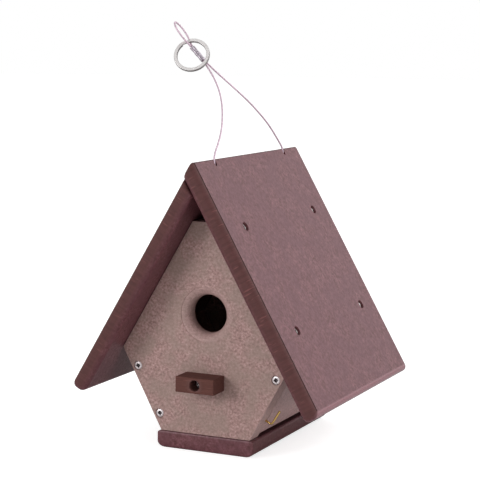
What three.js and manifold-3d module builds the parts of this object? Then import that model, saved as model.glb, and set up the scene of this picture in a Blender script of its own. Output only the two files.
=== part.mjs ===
// A hanging wren nest box of solid recycled-plastic boards, in millimetres, +Z up.
// X runs from left to right seen from the front, Y from the front to the back. The origin is
// under the middle of the box, on the surface that it stands on.
import * as THREE from "three";
import { mergeVertices } from "three/addons/utils/BufferGeometryUtils.js";
import Module from "manifold-3d";

const wasm = await Module();
wasm.setup();

// ---------------------------------------------------------------- driving dimensions

// Boards
const panelThickness = 15.9; // front and back panels
const roofThickness = 12.2;
const sideThickness = 9.5; // the two slanted lower sides
const floorThickness = 12.7;
const seam = 0.3; // gap between boards that touch

// Front and back panels
const panelCornerHalfWidth = 69.2; // widest point, under the roof
const panelBottomHalfWidth = 36.3;
const panelCornerHeight = 60.7; // of the widest point above the panel's bottom
const panelHeight = 159.7; // to the flat cut at the top, which leaves the vent gap
const bodyDepth = 146; // outside the front panel to outside the back panel

// Roof
const roofHalfAngle = THREE.MathUtils.degToRad(30); // each board from the vertical
const roofLeftLength = 177; // underside, from the ridge line to the eave
const roofRightLength = 181.5;
const roofDepth = 198;
const roofFrontOverhang = 28;
const ridgeLap = 1; // how far the right board's end stands proud of the left board
const ridgeEase = 1.5; // the sharp ridge is planed off level by this much
const roofRoundover = 5;

// Entrance
const entranceRadius = 14.3;
const entranceHeight = 90.8; // of its centre above the panel's bottom
const entranceRoundover = 6.35; // of its rim, on both faces
const entranceRoundoverSteps = 4;

// Floor
const floorSideLip = 3.2; // beyond the panels' bottom corners, each side
const floorFrontLip = 0.5;
const floorRoundover = 3;

// Perch
const perchWidth = 31;
const perchHeight = 11.8;
const perchProjection = 18.6;
const perchCentreHeight = 41; // above the panel's bottom
const perchEase = 1;

// Clean-out door, the right lower side
const doorTopAbovePivot = 13.5;
const doorBottomGap = 2.5; // above the panel's bottom, under the door's outer edge
const doorEndGap = 0.5; // to each panel

// Screws: head, hole and length sizes
const roofScrew = { headRadius: 3.1, headHeight: 2.2, shankRadius: 1.9, length: 26,
  recessRadius: 3.4, headDepth: 1.8 };
const faceScrew = { headRadius: 3.2, headHeight: 2, shankRadius: 1.75, length: 38,
  recessRadius: 3.5, headDepth: 0.4 };
const perchScrew = { headRadius: 3.6, headHeight: 2.2, shankRadius: 1.9, length: 21,
  recessRadius: 4.1, headDepth: 10 };
const floorScrew = { headRadius: 3.7, headHeight: 2.2, shankRadius: 1.9, length: 32,
  recessRadius: 4.1, headDepth: 2 };
const screwClearance = 0.3; // around a shank and beyond its tip
const driveSize = 2.6; // square drive socket, across its flats
const driveDepth = 1.5;

// Screw places
const screwRowInset = 7.2; // roof and floor screws, from a panel's outer face
const upperRoofScrewFromTop = 9.7; // down the slope, from the panels' flat top
const lowerRoofScrewFromCorner = 20; // up the slope, from the panels' widest corner
const pivotFromCorner = 17.8; // along the slanted side, from the panel's widest corner
const lowerScrewFromCorner = 57.1;
const floorScrewSpacing = 44;

// Door latch: a square-bend screw hook in the edge of the front panel
const latchWireRadius = 0.8;
const latchFromCorner = 53.5;
const latchFromFront = 12.6; // behind the front panel's face
const latchStandOff = 5.5; // from the edge to the middle of the arm
const latchArm = 12;
const latchBendRadius = 1.6;
const latchScrewDepth = 13; // of the shank inside the panel
const latchSwing = THREE.MathUtils.degToRad(10); // arm, off the panel's edge line towards the door

// Hanging wire and what is on it
const wireRadius = 0.75;
const wireSides = 8;
const wireSteps = 80;
const wireMiddleY = 2; // the two strands mirror each other about this plane
const wireHoleHalfSpan = 64.1;
const wireHoleX = 1;
const wireHoleRadius = 2;
const sleeveLength = 14.4;
const sleeveHalfWidth = 3.3;
const sleeveHalfThickness = 1.8;
const sleeveBoreRadius = 1.15;
const sleeveBoreOffset = 1.5; // each strand from the sleeve's middle
const stopRadius = 2.2;
const stopLength = 8;

// One strand, from its stop under the roof to the top of the eye: x, half-span, z
const strandPoints = [
  [1, 64.5, 187.4], [1, 64.5, 195], [1, 64.5, 205], [0.9, 64.3, 212], [0.7, 64, 216.4],
  [0.3, 63.2, 219.4], [-0.4, 60, 223.2], [-1.1, 54.7, 228], [-2.2, 48.3, 234],
  [-3.9, 42.1, 240], [-6.4, 35.8, 246], [-9.4, 29.6, 252], [-13, 23.5, 258],
  [-17.3, 17.4, 264], [-22.2, 12, 270], [-27.6, 7.4, 276], [-32.6, 4.2, 281.2],
  [-36.4, 2.4, 285.1], [-39.2, 1.5, 287.9], [-44.7, 1.5, 293.4], [-50.1, 1.5, 298.8],
  [-52, 2.2, 301.2], [-54.4, 4, 304.3], [-57.4, 5.3, 308.3], [-60.5, 5.2, 312.2],
  [-62.6, 4, 315], [-64, 2, 316.8], [-64.4, 0, 317.4],
];
const sleeveFirstPoint = 18; // where the strands enter the sleeve in that list
const sleeveLastPoint = 20;

// Split ring
const ringOuterRadius = 14;
const ringInnerRadius = 11.4;
const ringThickness = 2.6;
const ringTop = new THREE.Vector3(-53.2, 2, 302.8); // middle of its band, inside the wire's eye
const ringHang = new THREE.Vector3(0.44, -0.36, -0.82).normalize(); // from there to its centre
const ringPivotAxis = new THREE.Vector3(-0.87, -0.39, -0.3).normalize();

// ---------------------------------------------------------------- places worked out from those

const sinA = Math.sin(roofHalfAngle);
const cosA = Math.cos(roofHalfAngle);
const sin2A = Math.sin(2 * roofHalfAngle);
const cos2A = Math.cos(2 * roofHalfAngle);
const frontFaceY = -roofDepth / 2 + roofFrontOverhang;
const backFaceY = frontFaceY + bodyDepth;
const panelBottomZ = floorThickness + seam;
const cornerZ = panelBottomZ + panelCornerHeight;
const panelApexZ = cornerZ + panelCornerHalfWidth / Math.tan(roofHalfAngle);
const ridgeZ = panelApexZ + seam / sinA; // the line where the two undersides meet
const screwRows = [frontFaceY + screwRowInset, backFaceY - screwRowInset];
const roofScrewsDown = [
  downSlope(panelBottomZ + panelHeight) + upperRoofScrewFromTop,
  downSlope(cornerZ) - lowerRoofScrewFromCorner,
];

// The slanted side, on the right: unit vectors down along its face and out of it
const slantLength = Math.hypot(panelCornerHalfWidth - panelBottomHalfWidth, panelCornerHeight);
const slantDown = new THREE.Vector2(
  (panelBottomHalfWidth - panelCornerHalfWidth) / slantLength, -panelCornerHeight / slantLength);
const slantOut = new THREE.Vector2(-slantDown.y, slantDown.x);
const pivot = slantPoint(pivotFromCorner, -sideThickness / 2);

// How far down the roof from the ridge line the panels' edge is at a height z.
function downSlope(z) {
  return (panelApexZ - z) / cosA + (ridgeZ - panelApexZ) * cosA;
}

// A point of the right slanted side as [x, z]: how far down from the corner, how far outwards.
function slantPoint(down, out) {
  return [
    panelCornerHalfWidth + down * slantDown.x + out * slantOut.x,
    cornerZ + down * slantDown.y + out * slantOut.y,
  ];
}

// ---------------------------------------------------------------- materials

const material = (color, roughness, metalness = 0) =>
  new THREE.MeshStandardMaterial({ color, roughness, metalness });
const tanBoard = material(0xa48a80, 0.7);
const brownBoard = material(0x7d5a55, 0.65);
const screwSteel = material(0xc9c7c4, 0.35, 0.9);
const darkSteel = material(0x5a5450, 0.45, 0.9);
const cableSteel = material(0xa9a4a4, 0.4, 0.9);
const sleeveAluminium = material(0xbcb6bc, 0.45, 0.9);
const ringSteel = material(0xd8d4d2, 0.2, 1);
const latchBrass = material(0xb98a3c, 0.3, 1);

// ---------------------------------------------------------------- solids

// A three.js geometry as a manifold solid that can be cut.
function solid(geometry) {
  const bare = geometry.clone();
  bare.deleteAttribute("normal");
  bare.deleteAttribute("uv");
  const merged = mergeVertices(bare, 1e-4);
  return new wasm.Manifold(new wasm.Mesh({
    numProp: 3,
    vertProperties: new Float32Array(merged.attributes.position.array),
    triVerts: new Uint32Array(merged.index.array),
  }));
}

function geometryOf(manifold) {
  const { vertProperties, triVerts } = manifold.getMesh();
  const geometry = new THREE.BufferGeometry();
  geometry.setAttribute("position", new THREE.BufferAttribute(vertProperties, 3));
  geometry.setIndex(new THREE.BufferAttribute(triVerts, 1));
  const flat = geometry.toNonIndexed();
  flat.computeVertexNormals();
  return flat;
}

function named(name, geometry, surface) {
  const mesh = new THREE.Mesh(geometry, surface);
  mesh.name = name;
  return mesh;
}

// An outline in the XZ plane, given as [x, z] pairs, extruded from y0 to y1.
function prism(points, y0, y1) {
  const shape = new THREE.Shape(points.map(([x, z]) => new THREE.Vector2(x, z)));
  const geometry = new THREE.ExtrudeGeometry(shape, { depth: y1 - y0, bevelEnabled: false });
  return geometry.rotateX(Math.PI / 2).translate(0, y1, 0);
}

// A board lying flat with its top and bottom edges rounded, between two corners [x, y].
function roundedBoard([x0, y0], [x1, y1], thickness, roundover) {
  const shape = new THREE.Shape([
    new THREE.Vector2(x0, y0), new THREE.Vector2(x1, y0),
    new THREE.Vector2(x1, y1), new THREE.Vector2(x0, y1),
  ]);
  const geometry = new THREE.ExtrudeGeometry(shape, {
    depth: thickness - 2 * roundover, bevelThickness: roundover, bevelSize: roundover,
    bevelOffset: -roundover, bevelSegments: 4,
  });
  return geometry.translate(0, 0, roundover);
}

// A solid of revolution about +Z from [radius, z] pairs that start and end on the axis.
function turned(profile, segments = 16) {
  const points = profile.map(([radius, z]) => new THREE.Vector2(radius, z));
  return new THREE.LatheGeometry(points, segments).rotateX(Math.PI / 2);
}

// ---------------------------------------------------------------- screws

// Every screw points down its own -Z axis, with z = 0 on the board's face over its head.
function screwGeometry(spec) {
  const { headRadius, headHeight, shankRadius, length, headDepth } = spec;
  const top = -headDepth;
  const underHead = top - headHeight;
  const tip = top - length;
  const body = turned([
    [0, tip], [shankRadius, tip + 2 * shankRadius], [shankRadius, underHead],
    [headRadius, underHead], [headRadius, top - 0.4], [headRadius - 0.4, top], [0, top],
  ]);
  const socket = new THREE.BoxGeometry(driveSize, driveSize, 2 * driveDepth);
  return geometryOf(solid(body).subtract(solid(socket.translate(0, 0, top))));
}

// What a screw takes out of every board that it crosses.
function screwCut(spec) {
  const { headHeight, shankRadius, length, recessRadius, headDepth } = spec;
  const hole = shankRadius + screwClearance;
  const seat = -headDepth - headHeight - screwClearance;
  const end = -headDepth - length - screwClearance;
  return turned([
    [0, end], [hole, end + hole], [hole, seat], [recessRadius, seat], [recessRadius, 1], [0, 1],
  ]);
}

const screws = []; // { name, spec, matrix, surface }

function addScrew(name, spec, surface, [x, y, z], outwards) {
  const turn = new THREE.Quaternion().setFromUnitVectors(new THREE.Vector3(0, 0, 1), outwards);
  const place = new THREE.Matrix4().compose(
    new THREE.Vector3(x, y, z), turn, new THREE.Vector3(1, 1, 1));
  screws.push({ name, spec, matrix: place, surface });
}

const rowNames = ["front", "back"];
for (const [side, sideName] of [[-1, "left"], [1, "right"]]) {
  for (const [row, rowName] of rowNames.entries()) {
    roofScrewsDown.forEach((down, index) => {
      const x = side * (sinA * down + cosA * roofThickness);
      const z = ridgeZ - cosA * down + sinA * roofThickness;
      addScrew(`roof_screw_${sideName}_${rowName}_${["upper", "lower"][index]}`, roofScrew,
        darkSteel, [x, screwRows[row], z], new THREE.Vector3(side * cosA, 0, sinA));
    });
    addScrew(`floor_screw_${sideName}_${rowName}`, floorScrew, darkSteel,
      [side * floorScrewSpacing / 2, screwRows[row], 0], new THREE.Vector3(0, 0, -1));
  }
}
const lowerScrew = slantPoint(lowerScrewFromCorner, -sideThickness / 2);
for (const [row, rowName] of rowNames.entries()) {
  const outwards = new THREE.Vector3(0, row === 0 ? -1 : 1, 0);
  const faceY = row === 0 ? frontFaceY : backFaceY;
  addScrew(`side_screw_${rowName}_upper`, faceScrew, screwSteel,
    [-pivot[0], faceY, pivot[1]], outwards);
  addScrew(`side_screw_${rowName}_lower`, faceScrew, screwSteel,
    [-lowerScrew[0], faceY, lowerScrew[1]], outwards);
  addScrew(`door_pivot_screw_${rowName}`, faceScrew, screwSteel,
    [pivot[0], faceY, pivot[1]], outwards);
}
const perchZ = panelBottomZ + perchCentreHeight;
const perchFaceY = frontFaceY - seam - perchProjection;
addScrew("perch_screw", perchScrew, darkSteel, [0, perchFaceY, perchZ],
  new THREE.Vector3(0, -1, 0));

const screwCuts = screws.map(({ spec, matrix }) => solid(screwCut(spec).applyMatrix4(matrix)));

function bored(geometry) {
  return screwCuts.reduce((left, cut) => left.subtract(cut), solid(geometry));
}

// ---------------------------------------------------------------- panels

function panelOutline() {
  const topHalfWidth = (panelApexZ - panelBottomZ - panelHeight) * Math.tan(roofHalfAngle);
  const right = [
    [panelBottomHalfWidth, panelBottomZ], [panelCornerHalfWidth, cornerZ],
    [topHalfWidth, panelBottomZ + panelHeight],
  ];
  const left = right.map(([x, z]) => [-x, z]).reverse();
  return [...right, ...left];
}

// The entrance, rounded over on both faces.
function entranceCut() {
  const rim = entranceRadius + entranceRoundover;
  const front = [];
  const back = [];
  for (let step = 0; step <= entranceRoundoverSteps; step += 1) {
    const angle = (step / entranceRoundoverSteps) * (Math.PI / 2);
    const radius = rim - entranceRoundover * Math.sin(angle);
    const depth = entranceRoundover * (1 - Math.cos(angle));
    front.push([radius, depth]);
    back.unshift([radius, panelThickness - depth]);
  }
  const cut = turned([
    [0, -1], [rim + 1, -1], ...front, ...back,
    [rim + 1, panelThickness + 1], [0, panelThickness + 1],
  ], 40);
  return cut.rotateX(-Math.PI / 2).translate(0, frontFaceY, panelBottomZ + entranceHeight);
}

function frontPanel() {
  const board = bored(prism(panelOutline(), frontFaceY, frontFaceY + panelThickness));
  return geometryOf(board.subtract(solid(entranceCut())).subtract(solid(latchCut())));
}

function backPanel() {
  return geometryOf(bored(prism(panelOutline(), backFaceY - panelThickness, backFaceY)));
}

// ---------------------------------------------------------------- roof

// A roof board's own frame: x down the slope from the ridge line, z out of its upper face.
function roofFrame(side) {
  const down = new THREE.Vector3(side * sinA, 0, -cosA);
  const along = new THREE.Vector3(0, side, 0);
  const out = new THREE.Vector3(side * cosA, 0, sinA);
  return new THREE.Matrix4().makeBasis(down, along, out).setPosition(0, 0, ridgeZ);
}

// A board whose upper end is cut through the two points x = topUnder under it and topOver on it.
function roofBoard(side, length, topUnder, topOver) {
  const reach = 60; // past the highest end, and past the board all round
  const board = roundedBoard(
    [-reach, -roofDepth / 2], [length, roofDepth / 2], roofThickness, roofRoundover);
  const lean = (topOver - topUnder) / roofThickness;
  const waste = prism([
    [topUnder - lean * reach, -reach], [topUnder + lean * reach, reach],
    [-2 * reach, reach], [-2 * reach, -reach],
  ], -roofDepth, roofDepth);
  const cut = solid(board).subtract(solid(waste));
  return geometryOf(cut).applyMatrix4(roofFrame(side));
}

function roofLeft() {
  const topUnder = seam / sin2A;
  const topOver = (seam - cos2A * roofThickness) / sin2A;
  return geometryOf(bored(roofBoard(-1, roofLeftLength, topUnder, topOver)));
}

function roofRight() {
  const lapHeight = roofThickness + ridgeLap;
  const topUnder = -lapHeight / sin2A;
  const topOver = -(lapHeight + cos2A * roofThickness) / sin2A;
  const board = bored(roofBoard(1, roofRightLength, topUnder, topOver));
  const topZ = ridgeZ - cosA * topOver + sinA * roofThickness;
  const shaving = new THREE.BoxGeometry(roofThickness, 2 * roofDepth, 2 * ridgeEase);
  const cuts = [...wireHoles(), solid(shaving.translate(0, 0, topZ))];
  return geometryOf(cuts.reduce((left, cut) => left.subtract(cut), board));
}

function wireHoles() {
  return [-1, 1].map((end) => {
    const hole = new THREE.CylinderGeometry(wireHoleRadius, wireHoleRadius, 60, 16);
    return solid(hole.rotateX(Math.PI / 2)
      .translate(wireHoleX, wireMiddleY + end * wireHoleHalfSpan, ridgeZ));
  });
}

// ---------------------------------------------------------------- lower sides and door

// Cross-section of the fixed left side: mitred under the roof and flat on the floor.
function sideOutline() {
  const inner = (z) => {
    const [x0, z0] = slantPoint(0, -sideThickness);
    return x0 + (z - z0) * slantDown.x / slantDown.y;
  };
  const outerTop = slantPoint(0, 0);
  // The inner top corner lies on the roof's underside plane and on the side's inner face.
  const slope = slantDown.x / slantDown.y;
  const [x0, z0] = slantPoint(0, -sideThickness);
  const tanA = Math.tan(roofHalfAngle);
  const innerTopZ = (panelApexZ * tanA - x0 + z0 * slope) / (slope + tanA);
  return [
    outerTop, [inner(innerTopZ), innerTopZ],
    [inner(panelBottomZ), panelBottomZ], [panelBottomHalfWidth, panelBottomZ],
  ].map(([x, z]) => [-x, z]);
}

const sideFrontY = frontFaceY + panelThickness;
const sideBackY = backFaceY - panelThickness;

function sideLeft() {
  return geometryOf(bored(prism(sideOutline(), sideFrontY + seam, sideBackY - seam)));
}

// The door's ends are square, so its inner bottom edge clears the floor as the door swings.
function doorOutline() {
  const top = pivotFromCorner - doorTopAbovePivot;
  const bottom = slantLength - doorBottomGap / -slantDown.y;
  return [
    slantPoint(top, -sideThickness), slantPoint(bottom, -sideThickness),
    slantPoint(bottom, 0), slantPoint(top, 0),
  ];
}

function cleanOutDoor() {
  return geometryOf(bored(prism(doorOutline(), sideFrontY + doorEndGap, sideBackY - doorEndGap)));
}

// ---------------------------------------------------------------- floor and perch

function floorBoard() {
  const halfWidth = panelBottomHalfWidth + floorSideLip;
  return geometryOf(bored(roundedBoard(
    [-halfWidth, frontFaceY - floorFrontLip], [halfWidth, backFaceY + floorFrontLip],
    floorThickness, floorRoundover)));
}

function perch() {
  const block = roundedBoard(
    [-perchWidth / 2, perchFaceY], [perchWidth / 2, perchFaceY + perchProjection],
    perchHeight, perchEase);
  return geometryOf(bored(block.translate(0, 0, perchZ - perchHeight / 2)));
}

// ---------------------------------------------------------------- door latch

const latchBase = slantPoint(latchFromCorner, 0);
const latchAxis = new THREE.Vector3(slantOut.x, 0, slantOut.y);
const latchPlace = new THREE.Vector3(latchBase[0], frontFaceY + latchFromFront, latchBase[1]);

// The hook in its own frame: the shank on z, out of the edge, and the arm along x.
function latchHook() {
  const path = new THREE.CurvePath();
  const corner = latchStandOff - latchBendRadius;
  const bendStart = new THREE.Vector3(0, 0, corner);
  const bendEnd = new THREE.Vector3(latchBendRadius, 0, latchStandOff);
  path.add(new THREE.LineCurve3(new THREE.Vector3(0, 0, -latchScrewDepth), bendStart));
  path.add(new THREE.QuadraticBezierCurve3(
    bendStart, new THREE.Vector3(0, 0, latchStandOff), bendEnd));
  path.add(new THREE.LineCurve3(bendEnd, new THREE.Vector3(latchArm, 0, latchStandOff)));
  const section = new THREE.Shape().absarc(0, 0, latchWireRadius, 0, 2 * Math.PI);
  return new THREE.ExtrudeGeometry(section, { steps: 24, extrudePath: path, curveSegments: 5 });
}

// Its pilot hole in the front panel's edge.
function latchCut() {
  const radius = latchWireRadius + screwClearance;
  const hole = new THREE.CylinderGeometry(radius, radius, latchScrewDepth + 2, 16);
  hole.rotateX(Math.PI / 2).translate(0, 0, -latchScrewDepth / 2);
  const turn = new THREE.Quaternion().setFromUnitVectors(new THREE.Vector3(0, 0, 1), latchAxis);
  return hole.applyQuaternion(turn).translate(latchPlace.x, latchPlace.y, latchPlace.z);
}

function doorLatch() {
  const mesh = named("door_latch", latchHook(), latchBrass);
  const upSlant = new THREE.Vector3(-slantDown.x, 0, -slantDown.y);
  const arm = upSlant.multiplyScalar(Math.cos(latchSwing))
    .add(new THREE.Vector3(0, Math.sin(latchSwing), 0));
  const across = new THREE.Vector3().crossVectors(latchAxis, arm);
  mesh.quaternion.setFromRotationMatrix(new THREE.Matrix4().makeBasis(arm, across, latchAxis));
  mesh.position.copy(latchPlace);
  return mesh;
}

// ---------------------------------------------------------------- hanger

// The whole wire, up one strand, round the eye and down the other.
function wireRoute() {
  const up = strandPoints.map(([x, half, z]) => new THREE.Vector3(x, wireMiddleY - half, z));
  const down = strandPoints.slice(0, -1).reverse()
    .map(([x, half, z]) => new THREE.Vector3(x, wireMiddleY + half, z));
  return new THREE.CatmullRomCurve3([...up, ...down]);
}

function hangerWire() {
  const section = new THREE.Shape(Array.from({ length: wireSides }, (_, index) => {
    const angle = 2 * Math.PI * index / wireSides;
    return new THREE.Vector2(wireRadius * Math.cos(angle), wireRadius * Math.sin(angle));
  }));
  return new THREE.ExtrudeGeometry(section, { steps: wireSteps, extrudePath: wireRoute() });
}

// An oval sleeve pressed over both strands, with one bore for each.
function crimpSleeve() {
  const section = new THREE.Shape()
    .absellipse(0, 0, sleeveHalfWidth, sleeveHalfThickness, 0, 2 * Math.PI);
  for (const side of [-1, 1]) {
    section.holes.push(new THREE.Path()
      .absarc(side * sleeveBoreOffset, 0, sleeveBoreRadius, 0, 2 * Math.PI));
  }
  const geometry = new THREE.ExtrudeGeometry(section, {
    depth: sleeveLength, bevelEnabled: false, curveSegments: 10,
  }).translate(0, 0, -sleeveLength / 2);
  const mesh = named("crimp_sleeve", geometry, sleeveAluminium);
  const [x0, , z0] = strandPoints[sleeveFirstPoint];
  const [x1, , z1] = strandPoints[sleeveLastPoint];
  const along = new THREE.Vector3(x1 - x0, 0, z1 - z0).normalize();
  const wide = new THREE.Vector3(0, 1, 0);
  const thick = new THREE.Vector3().crossVectors(along, wide);
  mesh.quaternion.setFromRotationMatrix(new THREE.Matrix4().makeBasis(wide, thick, along));
  mesh.position.set((x0 + x1) / 2, wireMiddleY, (z0 + z1) / 2);
  return mesh;
}

// A ferrule on the wire's end, under the roof board.
function wireStop(end, name) {
  const geometry = turned([
    [0, -stopLength], [stopRadius - 0.5, -stopLength], [stopRadius, 0.5 - stopLength],
    [stopRadius, -0.5], [stopRadius - 0.5, 0], [0, 0],
  ]);
  const mesh = named(name, geometry, sleeveAluminium);
  const [x, half, z] = strandPoints[0];
  mesh.position.set(x, wireMiddleY + end * half, z - seam);
  return mesh;
}

function splitRing() {
  const middle = (ringOuterRadius + ringInnerRadius) / 2;
  const halfBand = (ringOuterRadius - ringInnerRadius) / 2;
  const halfThickness = ringThickness / 2;
  const corner = 0.45;
  const profile = [
    [-halfBand + corner, -halfThickness], [halfBand - corner, -halfThickness],
    [halfBand, corner - halfThickness], [halfBand, halfThickness - corner],
    [halfBand - corner, halfThickness], [corner - halfBand, halfThickness],
    [-halfBand, halfThickness - corner], [-halfBand, corner - halfThickness],
  ];
  const closed = [...profile, profile[0]];
  const geometry = turned(closed.map(([r, z]) => [middle + r, z]), 40);
  const mesh = named("split_ring", geometry, ringSteel);
  const normal = new THREE.Vector3().crossVectors(ringPivotAxis, ringHang).normalize();
  const across = new THREE.Vector3().crossVectors(normal, ringHang);
  mesh.quaternion.setFromRotationMatrix(new THREE.Matrix4().makeBasis(ringHang, across, normal));
  mesh.position.copy(ringTop).addScaledVector(ringHang, middle);
  return mesh;
}

// ---------------------------------------------------------------- assembly

const birdhouse = new THREE.Group();
birdhouse.add(
  named("front_panel", frontPanel(), tanBoard),
  named("back_panel", backPanel(), tanBoard),
  named("side_left", sideLeft(), tanBoard),
  named("clean_out_door", cleanOutDoor(), tanBoard),
  named("roof_left", roofLeft(), brownBoard),
  named("roof_right", roofRight(), brownBoard),
  named("floor_board", floorBoard(), brownBoard),
  named("perch", perch(), brownBoard),
  doorLatch(),
  named("hanger_wire", hangerWire(), cableSteel),
  crimpSleeve(),
  wireStop(-1, "wire_stop_front"),
  wireStop(1, "wire_stop_back"),
  splitRing(),
);
for (const { name, spec, matrix, surface } of screws) {
  const mesh = named(name, screwGeometry(spec), surface);
  mesh.applyMatrix4(matrix);
  birdhouse.add(mesh);
}

export default birdhouse;
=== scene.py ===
"""Looks for the hanging birdhouse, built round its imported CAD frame.

Sizes are in millimetres, as in the CAD source, and every mesh is made in metres in the frame's own
axes: +X to the right seen from the front, +Y from the entrance to the back, +Z up.
"""

import math
from collections import namedtuple

import bmesh
import bpy
from mathutils import Matrix, Vector, noise
from mathutils.geometry import delaunay_2d_cdt


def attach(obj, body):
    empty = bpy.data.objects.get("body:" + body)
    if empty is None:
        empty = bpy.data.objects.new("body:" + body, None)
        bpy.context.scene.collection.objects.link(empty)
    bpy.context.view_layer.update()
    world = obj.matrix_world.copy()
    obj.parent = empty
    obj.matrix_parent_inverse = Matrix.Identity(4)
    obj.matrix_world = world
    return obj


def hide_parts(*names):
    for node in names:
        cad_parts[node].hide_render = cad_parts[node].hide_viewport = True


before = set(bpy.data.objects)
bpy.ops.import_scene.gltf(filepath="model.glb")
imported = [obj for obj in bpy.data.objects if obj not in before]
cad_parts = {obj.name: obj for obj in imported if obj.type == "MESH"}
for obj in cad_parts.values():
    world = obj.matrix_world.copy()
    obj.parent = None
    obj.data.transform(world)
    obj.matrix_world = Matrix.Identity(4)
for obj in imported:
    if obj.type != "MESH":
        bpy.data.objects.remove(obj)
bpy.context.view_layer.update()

MM = 0.001
CLOSE = 1e-7  # two points nearer than this are one
Spot = namedtuple("Spot", "x y")  # a place in double precision, which Vector hasn't got

# ---------------------------------------------------------------- sizes, as in the CAD source

PANEL_THICKNESS = 15.9
ROOF_THICKNESS = 12.2
SIDE_THICKNESS = 9.5
FLOOR_THICKNESS = 12.7
SEAM = 0.3

CORNER_HALF_WIDTH = 69.2
BOTTOM_HALF_WIDTH = 36.3
CORNER_HEIGHT = 60.7
PANEL_HEIGHT = 159.7
FRONT_Y = -71.0
BACK_Y = 75.0

ROOF_HALF_ANGLE = math.radians(30)
ROOF_LENGTHS = {"left": 177.0, "right": 181.5}
ROOF_DEPTH = 198.0
RIDGE_LAP = 1.0
RIDGE_EASE = 1.5
ROOF_EDGE_UNDER = 4.6  # radius of the roundover below, and of the one above
ROOF_EDGE_OVER = 4.4
ROOF_SHOULDER = 0.3
ROOF_CORNER = 3.0
EAVE_TRIM = 0.15  # these keep the smooth board inside the CAD's faceted one
ROOF_END_TRIM = 0.03

ENTRANCE_RADIUS = 14.3
ENTRANCE_ROUNDOVER = 6.35
ENTRANCE_STEP = 0.4  # that the cutter leaves round the roundover
ENTRANCE_HEIGHT = 90.8

FLOOR_EDGE_OVER = 1.8
FLOOR_EDGE_UNDER = 4.8
FLOOR_SIDE_LIP = 3.2
FLOOR_FRONT_LIP = 0.5

PERCH_WIDTH = 31.0
PERCH_HEIGHT = 11.8
PERCH_PROJECTION = 18.6
PERCH_CENTRE = 41.0

DOOR_TOP = 4.3  # of the door's upper end down the slant from the panel's widest corner
DOOR_BOTTOM_GAP = 2.5
DOOR_END_GAP = 0.5

SCREW_ROW_INSET = 7.2
UPPER_ROOF_SCREW = 9.7
LOWER_ROOF_SCREW = 20.0
PIVOT_FROM_CORNER = 17.8
LOWER_SCREW_FROM_CORNER = 57.1
FLOOR_SCREW_SPACING = 44.0
DRIVE_SIZE = 2.6
DRIVE_DEPTH = 1.5
ROOF_SCREW = {"head": 3.1, "high": 2.2, "shank": 1.9, "length": 26.0, "recess": 3.4, "deep": 1.8}
FACE_SCREW = {"head": 3.2, "high": 2.0, "shank": 1.75, "length": 38.0, "recess": 3.5, "deep": 0.4}
PERCH_SCREW = {"head": 3.6, "high": 2.2, "shank": 1.9, "length": 21.0, "recess": 4.1, "deep": 10.0}
FLOOR_SCREW = {"head": 3.7, "high": 2.2, "shank": 1.9, "length": 32.0, "recess": 4.1, "deep": 2.0}

LATCH_RADIUS = 0.8
LATCH_FROM_CORNER = 53.5
LATCH_FROM_FRONT = 12.6
LATCH_STAND_OFF = 5.5
LATCH_ARM = 12.0
LATCH_BEND = 1.6
LATCH_DEPTH = 13.0
LATCH_SWING = math.radians(10)

WIRE_RADIUS = 0.73
WIRE_LOBES = 6
WIRE_LAY = 7.0  # how far along the wire a strand takes to go round it
WIRE_GROOVE = 0.04  # between the strands, as a share of the radius
WIRE_MIDDLE_Y = 2.0
WIRE_HOLE_X = 1.0
WIRE_HOLE_HALF_SPAN = 64.1
WIRE_HOLE_RADIUS = 2.0
SLEEVE_LENGTH = 14.4
SLEEVE_HALF_WIDTH = 3.3
SLEEVE_HALF_THICKNESS = 1.8
SLEEVE_BORE_RADIUS = 1.15
SLEEVE_BORE_OFFSET = 1.5
SLEEVE_BANDS = (0.3, 0.7)  # where it is pressed, as shares of its length
SLEEVE_BAND_HALF_LENGTH = 1.5
STOP_RADIUS = 2.2
STOP_LENGTH = 8.0

RING_OUTER = 14.0
RING_INNER = 11.4
RING_THICKNESS = 2.6
RING_COIL_GAP = 0.1
RING_EASE = 0.5
RING_START = math.radians(205)
RING_JOG = math.radians(32)  # the turn over which it steps from one coil to the other
RING_TOP = Vector((-53.2, 2.0, 302.8))
RING_HANG = Vector((0.44, -0.36, -0.82)).normalized()
RING_PIVOT = Vector((-0.87, -0.39, -0.3)).normalized()

# One strand of the hanger, from its stop under the roof to the top of the eye: x, half-span, z
STRAND = [
    (1, 64.5, 187.4), (1, 64.5, 195), (1, 64.5, 205), (0.9, 64.3, 212), (0.7, 64, 216.4),
    (0.3, 63.2, 219.4), (-0.4, 60, 223.2), (-1.1, 54.7, 228), (-2.2, 48.3, 234),
    (-3.9, 42.1, 240), (-6.4, 35.8, 246), (-9.4, 29.6, 252), (-13, 23.5, 258),
    (-17.3, 17.4, 264), (-22.2, 12, 270), (-27.6, 7.4, 276), (-32.6, 4.2, 281.2),
    (-36.4, 2.4, 285.1), (-39.2, 1.5, 287.9), (-44.7, 1.5, 293.4), (-50.1, 1.5, 298.8),
    (-52, 2.2, 301.2), (-54.4, 4, 304.3), (-57.4, 5.3, 308.3), (-60.5, 5.2, 312.2),
    (-62.6, 4, 315), (-64, 2, 316.8), (-64.4, 0, 317.4),
]
SLEEVE_FIRST = 18
SLEEVE_LAST = 20
EXIT_POINT = 4

# ---------------------------------------------------------------- places that follow from them

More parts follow.
